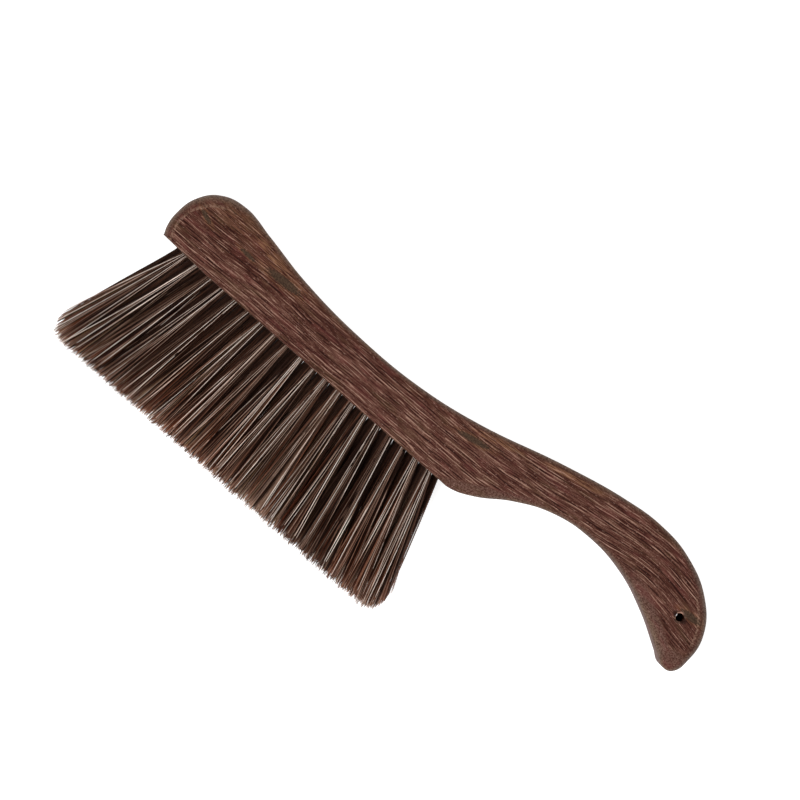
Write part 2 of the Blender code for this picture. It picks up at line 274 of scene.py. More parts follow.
# Marks in the wood: length, width and depth, and the range of noise in which they come up
FINE_STREAKS = (7.0, 0.34, 1.2, 0.38, 0.62)
MIDDLING_STREAKS = (24.0, 1.3, 3.5, 0.42, 0.60)
BROAD_STREAKS = (50.0, 4.5, 8.0, 0.38, 0.62)
SPECKS = (1.8, 0.5, 0.8, 0.66, 0.74)
PORES = (3.4, 0.42, 0.7, 0.38, 0.27)
FLECK = (1.0, 0.8, 0.8, 0.38, 0.62)
SIDE_LINES = (16.0, 16.0, 0.42, 0.40, 0.60)
SIDE_BANDS = (45.0, 45.0, 2.4, 0.38, 0.62)
END_LINES = (2.0, 0.6, 5.0, 0.40, 0.60)
RIM_PATCHES = (16.0, 16.0, 16.0, 0.40, 0.62)
FLAT_FACING = (0.82, 0.975)

# The growth layers climb along the handle, drop again towards the tail, and wave on the way.
LAYERS_CLIMB = (185.0, 292.0, 0.0, 11.5)
LAYERS_DROP = (282.0, 352.0, 0.0, -9.0)
LAYERS_SLOPE = 0.018
SLOW_WAVE = (60.0, 16.0, 18.0)
SLOW_WAVE_HEIGHT = 4.0
QUICK_WAVE = (14.0, 4.0, 7.0)
QUICK_WAVE_HEIGHT = 0.6

# Broken lines along the grain: spacing, thickness, length, and a shift that makes them differ
PALE_LINES = (1.45, 0.27, 13.0, 0.0)
DARK_LINES = (1.3, 0.31, 11.0, 40.0)
LINE_WOBBLE = (30.0, 4.0, 6.0)
LINE_WOBBLE_HEIGHT = 2.4  # in line spacings
LINE_CORE = 0.45  # the share of a line's thickness that is full
LINE_BREAK_SIZE = (1.1, 3.0)
LINE_BREAKS = (0.42, 0.62)

# Sanded places: below a parabola under the tail, inside a circle at its tip, and below a straight
# line at the corner between base face and handle
HOLLOW_TOP_X = 255.0
HOLLOW_TOP_Y = 28.2
HOLLOW_CURVE = 0.0053
HOLLOW_SANDED = (8.0, 6.0)
HOLLOW_STARTS = (272.0, 298.0)
SANDED_TIP = (326.0, 2.0)
TIP_SANDED = (13.0, 11.05)
SANDED_CORNER_X = 178.0
SANDED_CORNER_SLOPE = 0.52
CORNER_SANDED = (3.2, 1.6)
CORNER_STARTS = (176.0, 182.0)
CORNER_ENDS = (232.0, 214.0)


class WoodShader(Shader):
    """The wood's material, with the places and marks that several of its parts use."""

    def __init__(self):
        super().__init__("dark_hardwood")
        self.x, self.y, self.z = self.place()
        self.level = self.growth_level()
        self.turned_x, _, turned_z = self.split(self.node("ShaderNodeTexCoord").outputs["Normal"])
        self.facing = self.math("ABSOLUTE", turned_z)
        self.fine = self.marks(self.level, FINE_STREAKS)
        self.broad = self.marks(self.level, BROAD_STREAKS)
        self.pores = self.marks(self.level, PORES)
        self.fleck = self.marks(self.y, FLECK, detail=2.0, roughness=0.6)
        self.sanded = self.sanded_share()
        unsanded = self.subtract(1.0, self.sanded)
        self.flat = self.multiply(self.ramp(self.facing, *FLAT_FACING), unsanded)

    def marks(self, across, kind, detail=1.0, roughness=0.5):
        """Marks of one kind, laid out by y or by growth layer across the wood: 0 to 1."""
        *size, low, high = kind
        noise = self.noise((self.x, across, self.z), size, detail, roughness)
        return self.ramp(noise, low, high)

    def growth_level(self):
        """Which growth layer a point is in, as the height of the layer at the head."""
        climb = self.ramp(self.x, *LAYERS_CLIMB)
        drop = self.ramp(self.x, *LAYERS_DROP)
        course = self.add(self.add(climb, drop), self.multiply(self.x, LAYERS_SLOPE))
        place = (self.x, self.y, self.z)
        slow = self.around(self.noise(place, SLOW_WAVE), SLOW_WAVE_HEIGHT)
        quick = self.around(self.noise(place, QUICK_WAVE), QUICK_WAVE_HEIGHT)
        return self.subtract(self.subtract(self.y, course), self.add(slow, quick))

    def hairlines(self, spacing, thickness, length, shift):
        """Thin broken lines along the grain, at about the given spacing: 0 to 1."""
        place = (self.x, self.add(self.level, shift), self.z)
        wobble = self.noise(place, LINE_WOBBLE, detail=2.0)
        lines = self.math("DIVIDE", self.level, spacing)
        phase = self.add(lines, self.multiply(wobble, LINE_WOBBLE_HEIGHT))
        away = self.math("ABSOLUTE", self.subtract(self.math("FRACT", phase), 0.5))
        edge = thickness / spacing
        line = self.ramp(away, edge, edge * LINE_CORE)
        breaks = self.noise(place, (length, *LINE_BREAK_SIZE), detail=0.0)
        return self.multiply(line, self.ramp(breaks, *LINE_BREAKS))

    def distance(self, x, y):
        """How far the surface is from the upright line at x, y."""
        from_x = self.subtract(self.x, x)
        from_y = self.subtract(self.y, y)
        return self.math("SQRT", self.squares(from_x, from_y))

    def lens_distance(self, centre_x, centre_y, half_length, half_width, slope):
        """0 in the middle of a lens, 1 at its edge and more outside it."""
        past_centre = self.subtract(self.x, centre_x)
        middle = self.add(self.multiply(past_centre, slope), centre_y)
        across = self.math("DIVIDE", self.subtract(self.y, middle), half_width)
        lengthwise = self.math("DIVIDE", past_centre, half_length)
        return self.squares(lengthwise, across)

    def nearest_lens(self, lenses):
        """The smallest lens distance to any of the lenses."""
        nearest = self.lens_distance(*lenses[0])
        for lens in lenses[1:]:
            nearest = self.math("MINIMUM", nearest, self.lens_distance(*lens))
        return nearest

    def sanded_share(self):
        """1 where the wood is sanded across its grain, and 0 elsewhere."""
        past_top = self.subtract(self.x, HOLLOW_TOP_X)
        drop = self.multiply(past_top, past_top, HOLLOW_CURVE)
        above = self.subtract(self.y, self.subtract(HOLLOW_TOP_Y, drop))
        hollow = self.multiply(self.ramp(above, *HOLLOW_SANDED), self.ramp(self.x, *HOLLOW_STARTS))
        tip = self.ramp(self.distance(*SANDED_TIP), *TIP_SANDED)
        line = self.multiply(self.subtract(self.x, SANDED_CORNER_X), SANDED_CORNER_SLOPE)
        corner = self.multiply(
            self.ramp(self.subtract(self.y, line), *CORNER_SANDED),
            self.ramp(self.x, *CORNER_STARTS),
            self.ramp(self.x, *CORNER_ENDS),
        )
        return self.math("MAXIMUM", self.math("MAXIMUM", hollow, corner), tip)


# The wood's tone, from 0, darkest, to 1, palest. A pattern's weight is what it adds to the tone.
FLAT_TONE = 0.235
RIM_TONE = 0.20
SIDE_TONE = 0.26
DULL_LEVELS = (6.0, 20.0)  # the upper part of the stock is a little duller
DULL_ENDS = (130.0, 80.0)
UPRIGHT_FACING = (0.55, 0.15)
END_FACING = (0.60, 0.92)


def flat_tone(wood):
    """The streaks and lines of the flat sides."""
    middling = wood.marks(wood.level, MIDDLING_STREAKS)
    lines = wood.hairlines(*PALE_LINES)
    dark_lines = wood.hairlines(*DARK_LINES)
    dull = wood.multiply(wood.ramp(wood.level, *DULL_LEVELS), wood.ramp(wood.x, *DULL_ENDS))
    tone = wood.weighted(
        (wood.fine, 0.32), (middling, 0.10), (wood.broad, 0.08), (wood.fleck, 0.14),
        (dull, -0.08), (lines, 0.52), (dark_lines, -0.66),
    )
    return wood.add(tone, FLAT_TONE, clamp=True)


def side_tone(wood):
    """The upright sides show the growth layers as long straight lines, and the two ends as short
    ones."""
    at_end = wood.ramp(wood.math("ABSOLUTE", wood.turned_x), *END_FACING)
    side_lines = wood.marks(wood.y, SIDE_LINES)
    end_lines = wood.marks(wood.level, END_LINES)
    lines = wood.add(side_lines, wood.multiply(at_end, wood.subtract(end_lines, side_lines)))
    bands = wood.marks(wood.y, SIDE_BANDS)
    return wood.add(wood.weighted((lines, 0.24), (bands, 0.14), (wood.fleck, 0.12)), SIDE_TONE)


def wood_tone(wood):
    """The rounded rim and the sanded places cut across the growth layers, so there the streaks
    turn into a fine fleck."""
    rim = wood.weighted((wood.fine, 0.14), (wood.fleck, 0.32), (wood.broad, 0.08))
    tone = wood.between(wood.flat, wood.add(rim, RIM_TONE), flat_tone(wood))
    upright = wood.ramp(wood.facing, *UPRIGHT_FACING)
    return wood.between(upright, tone, side_tone(wood))


DUST = (106, 80, 70)
DUST_SHARE = (0.0, 1.0, 0.15, 0.65)
TINT_PATCHES = (14.0, 3.5, 6.0)
REDDER = (104, 54, 50)
REDDER_PATCHES = (0.54, 0.70, 0.0, 0.30)
OLIVE = (84, 62, 42)
OLIVE_PATCHES = (0.46, 0.30, 0.0, 0.30)
OCHRE = (140, 100, 72)
OCHRE_LEVELS = (21.0, 30.0, 0.0, 0.25)
OCHRE_ENDS = (180.0, 140.0)
OCHRE_LENS = (1.6, 0.3, 0.0, 0.6)
PALE_SPECK = (156, 122, 110)
SPECK_SHARE = 0.65
DARK_PORE = (36, 12, 8)
PORE_SHARE = 0.8
# Lenses in the grain: x, y, half length, half width and slope
OCHRE_LENSES = (
    (40.5, 29.4, 13.0, 2.4, -0.16),
    (187.0, 34.0, 14.0, 1.8, 0.27),
    (228.0, 45.0, 18.0, 1.6, 0.24),
)
OLIVE_LENSES = (
    (53.0, 23.4, 10.5, 2.3, 0.04),
    (177.5, 26.6, 9.0, 1.6, 0.20),
    (2.2, 22.3, 4.2, 1.3, -0.35),
    (30.5, 21.6, 5.0, 1.1, -0.05),
    (318.6, 31.6, 6.0, 1.8, 0.05),
)
LENS_HALO = (140, 98, 66)
HALO_RANGE = (4.0, 1.4)
HALO_SHARE = 0.30
LENS_COLOURS = ((50, 36, 27), (72, 56, 43))
LENS_RANGE = (1.5, 0.5)
LENS_SHARE = 0.92


def tinted(wood, colour):
    """Adds dust on the sanded places, redder and more olive patches, ochre streaks below the back
    of the stock and in lenses, pale specks and dark pores."""
    dusty = wood.multiply(wood.sanded, wood.ramp(wood.fleck, *DUST_SHARE))
    colour = wood.blend(dusty, colour, DUST)
    tint = wood.noise((wood.x, wood.level, wood.z), TINT_PATCHES, detail=2.0)
    colour = wood.blend(wood.ramp(tint, *REDDER_PATCHES), colour, REDDER)
    colour = wood.blend(wood.ramp(tint, *OLIVE_PATCHES), colour, OLIVE)
    back = wood.multiply(wood.ramp(wood.level, *OCHRE_LEVELS), wood.ramp(wood.x, *OCHRE_ENDS))
    patch = wood.ramp(wood.nearest_lens(OCHRE_LENSES), *OCHRE_LENS)
    ochre = wood.multiply(wood.math("MAXIMUM", back, patch), wood.fine)
    colour = wood.blend(ochre, colour, OCHRE)
    specks = wood.marks(wood.level, SPECKS)
    colour = wood.blend(wood.multiply(specks, SPECK_SHARE), colour, PALE_SPECK)
    pores = wood.multiply(wood.pores, wood.flat, PORE_SHARE)
    return wood.blend(pores, colour, DARK_PORE)


def with_lenses(wood, colour):
    """Adds the olive lenses, each in a streaky halo."""
    nearest = wood.add(wood.nearest_lens(OLIVE_LENSES), wood.around(wood.fleck, 0.5))
    halo = wood.multiply(wood.fine, HALO_SHARE, wood.ramp(nearest, *HALO_RANGE))
    colour = wood.blend(halo, colour, LENS_HALO)
    olive = wood.blend(wood.fleck, *LENS_COLOURS)
    return wood.blend(wood.multiply(wood.ramp(nearest, *LENS_RANGE), LENS_SHARE), colour, olive)


# The rim's painted reflection and the crease's painted highlight, by ranges of facing: 1 on the
# flat sides and 0 on the upright ones
# painted reflection of the white surroundings on the rounded rim, grey and in places olive
RIM_REFLECTION_GREYS = ((80, 63, 54), (120, 100, 88))
RIM_REFLECTION_OLIVES = ((82, 62, 46), (124, 98, 76))
RIM_REFLECTION_OLIVE_SHARE = 0.5
ROUNDED = (0.98, 0.50, 0.0, 0.75)
NOT_UPRIGHT = (0.05, 0.45)
# painted highlight: a broad pale line where the head's and tail's roundover leaves the flat
CREASE_HIGHLIGHT = (146, 116, 98)
CREASE_HIGHLIGHT_STARTS = (0.88, 0.96)
CREASE_HIGHLIGHT_ENDS = (0.999, 0.985)
CREASE_HIGHLIGHT_SHARE = (0.0, 1.0, 0.1, 0.6)
CREASE_HIGHLIGHT_HEAD_X = (14.0, 4.0)
CREASE_HIGHLIGHT_TAIL_X = (311.0, 317.0)
CREASE_HIGHLIGHT_TAIL_Y = (15.0, 24.0)


def with_painted_rim_light(wood, colour):
    """Paints the rounded rim greyer, and in places olive, as a painted reflection of the white
    surroundings. A broad pale painted highlight shows where the two ends start to round."""
    # painted reflection: the rim greyer, in places olive, where it mirrors the white surroundings
    reflection_grey = wood.blend(wood.fleck, *RIM_REFLECTION_GREYS)
    olive = wood.blend(wood.fleck, *RIM_REFLECTION_OLIVES)
    patches = wood.marks(wood.y, RIM_PATCHES, detail=2.0)
    reflection_grey = wood.blend(wood.multiply(patches, RIM_REFLECTION_OLIVE_SHARE), reflection_grey, olive)
    facing = wood.facing
    rounded = wood.multiply(wood.ramp(facing, *ROUNDED), wood.ramp(facing, *NOT_UPRIGHT))
    colour = wood.blend(rounded, colour, reflection_grey)
    tail = wood.multiply(wood.ramp(wood.x, *CREASE_HIGHLIGHT_TAIL_X), wood.ramp(wood.y, *CREASE_HIGHLIGHT_TAIL_Y))
    # painted highlight along the crease at the head and the tail, broken up by the fleck
    crease_highlight = wood.multiply(
        wood.ramp(facing, *CREASE_HIGHLIGHT_STARTS),
        wood.ramp(facing, *CREASE_HIGHLIGHT_ENDS),
        wood.math("MAXIMUM", wood.ramp(wood.x, *CREASE_HIGHLIGHT_HEAD_X), tail),
        wood.ramp(wood.fleck, *CREASE_HIGHLIGHT_SHARE),
    )
    return wood.blend(crease_highlight, colour, CREASE_HIGHLIGHT)


HOLE = (HANG_HOLE.x / MM, HANG_HOLE.y / MM)
BORE = HANG_HOLE_DIAMETER / 2 / MM
BORE_EDGE = BORE * 1.1
HALF_THICKNESS = THICKNESS / 2 / MM
# a dark slanted patch across the hanging hole
DARK_SLANT_LENS = (*HOLE, 4.8, 1.9, -0.07)
DARK_SLANT = (34, 12, 8)
DARK_SLANT_SHARE = (1.2, 0.6, 0.0, 0.8)
RAGGED_NOISE = (1.9, 1.9, 1.9)
# painted shade inside the hanging hole, with lighter ragged fibres near both mouths
BORE_SHADE = (18, 4, 1)
FIBRE = (112, 66, 50)
FIBRE_DEPTH = (5.0, 1.5)
FIBRE_RAGGED = (0.48, 0.62)
# pale chips on the hole's rim, partly a painted highlight where the rim catches light
CHIP_HIGHLIGHT = (170, 132, 114)
CHIPS_END = (BORE * 1.5, BORE * 1.3)
CHIPS_RAGGED = (0.50, 0.58)


def with_hanging_hole(wood, colour, from_hole):
    """The hanging hole has painted shade inside, lighter in ragged fibres near both mouths where
    light reaches in, a dark slanted patch across it, and pale chips on its rim, partly a painted
    highlight.
    """
    dark_slant = wood.ramp(wood.lens_distance(*DARK_SLANT_LENS), *DARK_SLANT_SHARE)
    colour = wood.blend(dark_slant, colour, DARK_SLANT)
    ragged = wood.noise((wood.x, wood.y, wood.z), RAGGED_NOISE, detail=0.0)
    # painted shade deeper in the bore, lighter fibres near both faces where light reaches in
    from_middle = wood.math("ABSOLUTE", wood.subtract(wood.z, HALF_THICKNESS))
    depth = wood.subtract(HALF_THICKNESS, from_middle)
    fibres = wood.multiply(wood.ramp(depth, *FIBRE_DEPTH), wood.ramp(ragged, *FIBRE_RAGGED))
    inside = wood.blend(fibres, BORE_SHADE, FIBRE)
    colour = wood.blend(wood.ramp(from_hole, BORE_EDGE, BORE), colour, inside)
    # pale chips on the rim, partly a painted highlight
    chip_highlights = wood.multiply(
        wood.ramp(from_hole, BORE, BORE_EDGE),
        wood.ramp(from_hole, *CHIPS_END),
        wood.ramp(ragged, *CHIPS_RAGGED),
    )
    return wood.blend(chip_highlights, colour, CHIP_HIGHLIGHT)


def wood_material():
    wood = WoodShader()
    tone = wood_tone(wood)
    colour = tinted(wood, wood.colours(tone, TONE_STOPS, WOOD_COLOURS))
    colour = with_painted_rim_light(wood, with_lenses(wood, colour))
    from_hole = wood.distance(*HOLE)
    colour = with_hanging_hole(wood, colour, from_hole)
    wood.join(colour, wood.inputs["Base Color"])
    wood.join(wood.ramp(tone, 0.0, 1.0, *WOOD_ROUGHNESS), wood.inputs["Roughness"])
    sheen = wood.ramp(from_hole, BORE, BORE_EDGE, 0.0, WOOD_SPECULAR)
    wood.join(sheen, wood.inputs["Specular IOR Level"])
    bump = wood.node("ShaderNodeBump")
    bump.inputs["Strength"].default_value = RELIEF_STRENGTH
    bump.inputs["Distance"].default_value = RELIEF_DEPTH
    relief = wood.subtract(wood.multiply(tone, RELIEF_OF_TONE), wood.pores)
    wood.join(relief, bump.inputs["Height"])
    wood.join(bump.outputs[0], wood.inputs["Normal"])
    return wood.material


# The bristles' material, from black through brown to white, in three hues
NEUTRAL_HAIR = ((13, 3, 0), (54, 35, 28), (104, 73, 58), (177, 147, 130), (255, 240, 229))
OLIVE_HAIR = ((13, 5, 0), (53, 34, 20), (103, 76, 51), (172, 144, 114), (246, 230, 208))
RED_HAIR = ((16, 3, 1), (66, 30, 18), (120, 68, 46), (180, 126, 100), (250, 214, 194))
OLIVE_HUES = (0.45, 0.0)
RED_HUES = (0.55, 1.0)
MOTTLE = (0.7, 8.0, 0.7)  # size of the marks, longest along the bristles
MOTTLE_STRENGTH = 0.16
HAIR_ROUGHNESS = (0.3, 0.7, 0.4, 0.55)
HAIR_SPECULAR = 0.04


def bristle_material():
    """Hair. Every point of a bristle carries its tone, from black to white, and its hue, from
    olive through neutral brown to red-brown."""
    shader = Shader("natural_bristle")
    tone = shader.node("ShaderNodeAttribute", attribute_name="tone").outputs["Fac"]
    hue = shader.node("ShaderNodeAttribute", attribute_name="hue").outputs["Fac"]
    mottle = shader.noise(shader.place(), MOTTLE)
    tone = shader.add(tone, shader.around(mottle, MOTTLE_STRENGTH), clamp=True)
    neutral = shader.colours(tone, TONE_STOPS, NEUTRAL_HAIR)
    olive = shader.colours(tone, TONE_STOPS, OLIVE_HAIR)
    red = shader.colours(tone, TONE_STOPS, RED_HAIR)
    hair = shader.blend(shader.ramp(hue, *OLIVE_HUES), neutral, olive)
    hair = shader.blend(shader.ramp(hue, *RED_HUES), hair, red)
    shader.join(hair, shader.inputs["Base Color"])
    shader.join(shader.ramp(mottle, *HAIR_ROUGHNESS), shader.inputs["Roughness"])
    shader.inputs["Specular IOR Level"].default_value = HAIR_SPECULAR
    return shader.material


# The wooden body

def outline_corners():
    """The outline's points in order, read from a closed Bezier curve."""
    points = HEAD + BACK + TAIL + UNDERSIDE
    curve = bpy.data.curves.new("outline", "CURVE")
    curve.dimensions = "2D"
    curve.fill_mode = "NONE"
    curve.resolution_u = OUTLINE_RESOLUTION
    spline = curve.splines.new("BEZIER")
    spline.use_cyclic_u = True
    spline.bezier_points.add(len(points) - 1)
    for knot, (x, y) in zip(spline.bezier_points, points):
        knot.co = (x * MM, y * MM, 0.0)
        handle_type = "VECTOR" if (x, y) in CORNERS else "AUTO"
        knot.handle_left_type = handle_type
        knot.handle_right_type = handle_type
    obj = link("outline", curve)
    evaluated = obj.evaluated_get(bpy.context.evaluated_depsgraph_get())
    mesh = bpy.data.meshes.new_from_object(evaluated)
    corners = [vert.co.to_2d() for vert in mesh.vertices]
    bpy.data.objects.remove(obj, do_unlink=True)
    bpy.data.meshes.remove(mesh)
    return corners


def roundover(point):
    """How wide the rim is rounded at a place on the outline."""
    if point.y < BASE_FACE_LEVEL and point.x < BASE_FACE_END:
        return ROUND_BASE_EDGE
    at_head = 1.0 - ease(0.0, HEAD_ROUND_ENDS, point.x)
    at_tail = ease(TAIL_ROUND_STARTS, TAIL_ROUND_FULL, point.x)
    width = mix(ROUND_BACK, ROUND_ENDS, max(at_head, at_tail))
    width = mix(width, ROUND_CROWN, at_head * ease(CROWN_STARTS, CROWN_FULL, point.y))
    near_tip = 1.0 - ease(0.0, TAIL_TIP_REACH, (point - TAIL_TIP).length)
    width = mix(width, ROUND_TAIL_TIP, near_tip)
    if point.y < BASE_ROUND_RISE and BASE_FACE_END <= point.x < TAIL_ROUND_STARTS:
        width = mix(ROUND_BASE_EDGE, width, ease(0.0, BASE_ROUND_RISE, point.y))
    return width


def crease(point):
    """The angle at which the roundover leaves the flat: a visible crease at both ends only."""
    at_head = 1.0 - ease(HEAD_CREASE_FADES, HEAD_ROUND_ENDS, point.x)
    at_tail = ease(TAIL_ROUND_STARTS, TAIL_ROUND_FULL, point.x)
    return CREASE_ANGLE * max(at_head, at_tail)


def inward_normal(start, end):
    """The normal of an outline piece, towards the wood: the outline runs clockwise."""
    course = (end - start).normalized()
    return Vector((course.y, -course.x))


def full_inset(before, corner, after):
    """How far a corner moves inwards to reach the flat side, across the whole roundover."""
    normal_before = inward_normal(before, corner)
    normal_after = inward_normal(corner, after)
    width_before = roundover((before + corner) / 2)
    width_after = roundover((corner + after) / 2)
    turn = normal_before.cross(normal_after)
    if abs(turn) < SHARP_TURN:
        normal = (normal_before + normal_after).normalized()
        return normal * (width_before + width_after) / 2
    x = (width_before * normal_after.y - width_after * normal_before.y) / turn
    y = (width_after * normal_before.x - width_before * normal_after.x) / turn
    return Vector((x, y))


def body_rings(corners):
    """Level rings from the lower flat, around the rim, to the upper flat."""
    lower = [[] for _ in range(ROUND_SEGMENTS + 1)]
    for index, corner in enumerate(corners):
        before = corners[index - 1]
        after = corners[(index + 1) % len(corners)]
        inset = full_inset(before, corner, after)
        width = (roundover((before + corner) / 2) + roundover((corner + after) / 2)) / 2
        start = crease(corner)
        rise = 1.0 - math.sin(start)
        radius = width / rise
        for step, ring in enumerate(lower):
            angle = mix(start, math.pi / 2, step / ROUND_SEGMENTS)
            share = 1.0 - (math.sin(angle) - math.sin(start)) / rise
            place = corner + inset * share
            ring.append(Vector((place.x, place.y, radius * (math.cos(start) - math.cos(angle)))))
    upper = [[Vector((p.x, p.y, THICKNESS - p.z)) for p in ring] for ring in reversed(lower)]
    return lower + upper


def finished_mesh(name, bm):
    mesh = bpy.data.meshes.new(name)
    bm.to_mesh(mesh)
    bm.free()
    return mesh


def body_mesh():
    bm = bmesh.new()
    rings = [[bm.verts.new(BASE + p) for p in ring] for ring in body_rings(outline_corners())]
    for low, high in zip(rings, rings[1:]):
        for index in range(len(low)):
            bm.faces.new((low[index - 1], low[index], high[index], high[index - 1]))
    for ring in (rings[0], rings[-1]):
        bm.faces.new(ring)
    bmesh.ops.recalc_face_normals(bm, faces=bm.faces)
    return finished_mesh("stock_and_handle_wood", bm)


def tuft_places():
    """Where the tufts stand: (row, number in the row, x, z) at the base face."""
    places = []
    for row in range(ROWS):
        outer = row != MIDDLE_ROW
        count = MIDDLE_ROW_TUFTS - 1 if outer else MIDDLE_ROW_TUFTS
        start = FIRST_TUFT_X + (TUFT_PITCH / 2 if outer else 0.0)
        z = THICKNESS / 2 + (row - MIDDLE_ROW) * ROW_SPACING
        for number in range(count):
            places.append((row, number, start + number * TUFT_PITCH, z))
    return places


def tip_place(x, z, tip_pitch=TIP_PITCH):
    """Where a tuft rooted at x, z has its tip."""
    tip_x = MIDDLE_X + (x - MIDDLE_X) * tip_pitch / TUFT_PITCH
    tip_z = THICKNESS / 2 + (z - THICKNESS / 2) * TIP_ROW_SPACING / ROW_SPACING
    return tip_x, tip_z


def tuft_hole_cutter():
    """All drilled tuft holes as one cutter of separate bodies, each along its tuft's lean."""
    bm = bmesh.new()
    stand_out = 4 * MM
    radius = TUFT_DIAMETER / 2 + TUFT_HOLE_CLEARANCE
    for _, _, x, z in tuft_places():
        tip_x, tip_z = tip_place(x, z)
        inward = Vector((x - tip_x, BRISTLE_LENGTH, z - tip_z)).normalized()
        turn = inward.to_track_quat("Z", "Y").to_matrix().to_4x4()
        middle = BASE + Vector((x, 0.0, z)) + inward * (TUFT_HOLE_DEPTH - stand_out) / 2
        bmesh.ops.create_cone(
            bm, cap_ends=True, segments=TUFT_HOLE_SIDES, depth=TUFT_HOLE_DEPTH + stand_out,
            radius1=radius, radius2=radius, matrix=Matrix.Translation(middle) @ turn,
        )
    return link("tuft_hole_cutter", finished_mesh("tuft_hole_cutter", bm))


def hang_hole_profile():
    """Half of the hanging hole's section, from below the brush to above it."""
    bore = HANG_HOLE_DIAMETER / 2
    rim = COUNTERSINK_DIAMETER / 2
    past = 3 * MM
    flare = (rim - bore) / COUNTERSINK_DEPTH
    lower = [(0.0, -past), (rim + flare * past, -past), (bore, COUNTERSINK_DEPTH)]
    upper = [(radius, THICKNESS - z) for radius, z in reversed(lower)]
    return lower + upper


def hang_hole_cutter():
    bm = bmesh.new()
    centre = BASE + HANG_HOLE.to_3d()
    verts = [bm.verts.new(centre + Vector((radius, 0.0, z))) for radius, z in hang_hole_profile()]
    edges = [bm.edges.new(pair) for pair in zip(verts, verts[1:])]
    bmesh.ops.spin(
        bm, geom=verts + edges, cent=centre, axis=(0.0, 0.0, 1.0), angle=2 * math.pi,
        steps=HANG_HOLE_SIDES, use_merge=True,
    )
    bmesh.ops.remove_doubles(bm, verts=bm.verts, dist=WELD_DISTANCE)
    bmesh.ops.recalc_face_normals(bm, faces=bm.faces)
    return link("hang_hole_cutter", finished_mesh("hang_hole_cutter", bm))


def cut(body, tool):
    """Takes the tool's shape out of the body, for good."""
    modifier = body.modifiers.new("cut", "BOOLEAN")
    modifier.operation = "DIFFERENCE"
    modifier.solver = "EXACT"
    modifier.object = tool
    graph = bpy.context.evaluated_depsgraph_get()
    result = bpy.data.meshes.new_from_object(body.evaluated_get(graph))
    body.modifiers.clear()
    body.data = result
    bpy.data.objects.remove(tool, do_unlink=True)


def make_body(material):
    body = add_object("wooden_stock_and_handle", body_mesh(), material)
    cut(body, tuft_hole_cutter())
    cut(body, hang_hole_cutter())
    body.data.shade_smooth()
    body.data.set_sharp_from_angle(angle=SHARP_EDGE)
    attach(body, BODY)
    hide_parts("stock_and_handle")


# The bristles. A place in a tuft is u along the brush and v through it, each from -1 to 1. A tone
# runs from 0, black, to 1, white. Two numbers are the ends of a range.

BRISTLE_SIDES = 3
BRISTLE_RINGS = 8
# How far down a bristle its rings are: one inside the wood, one at the base face, and the rest
RING_SHARES = np.concatenate(([0.0], np.linspace(0.0, 1.0, BRISTLE_RINGS - 1)))
BRISTLE_RADIUS = 0.15 * MM
UNCHANGED = -1.0  # the onset of a bristle that has its tone from the root on

# At the base face a bundle is narrower than its hole, and leans on one side of it: (radius, shift)
OUTER_ROOT = (2.1 * MM, -0.1 * MM)
MIDDLE_ROOT = (2.0 * MM, 0.15 * MM)
LOWEST_BRISTLE = 0.3 * MM
HIGHEST_BRISTLE = THICKNESS + 0.4 * MM

# The bristles of a tuft cling together in fine strands. A strand has its own tone, hue, bow and
# length, and ends in a point.
STRANDS_ALONG = 20
STRANDS_ACROSS = 5
BRISTLES_PER_STRAND = 2
STRAND_JITTER = (-0.4, 0.4)  # in strand spacings
WILD_SHARE = 0.25
DARK_SHARE = 0.32
PALE_SHARE = 0.10
STRAND_TONES = ((0.06, 0.32), (0.38, 0.56), (0.56, 0.82))  # dark, middling and pale
# painted shade: a strand's second bristle is its darker shadow side
SHADOW_SIDE_TONE = (0.4, 1.0)  # of a strand's second bristle, as a share of the first's
STRAND_SHORT = (0.5 * MM, 1.7 * MM)  # mean and spread of what a strand lacks in length
EARLY_SHARE = 0.10
EARLY_SHORT = (1.0 * MM, 7.0 * MM)
STRAND_DEPTH = 0.9  # the strands keep this far within the tuft


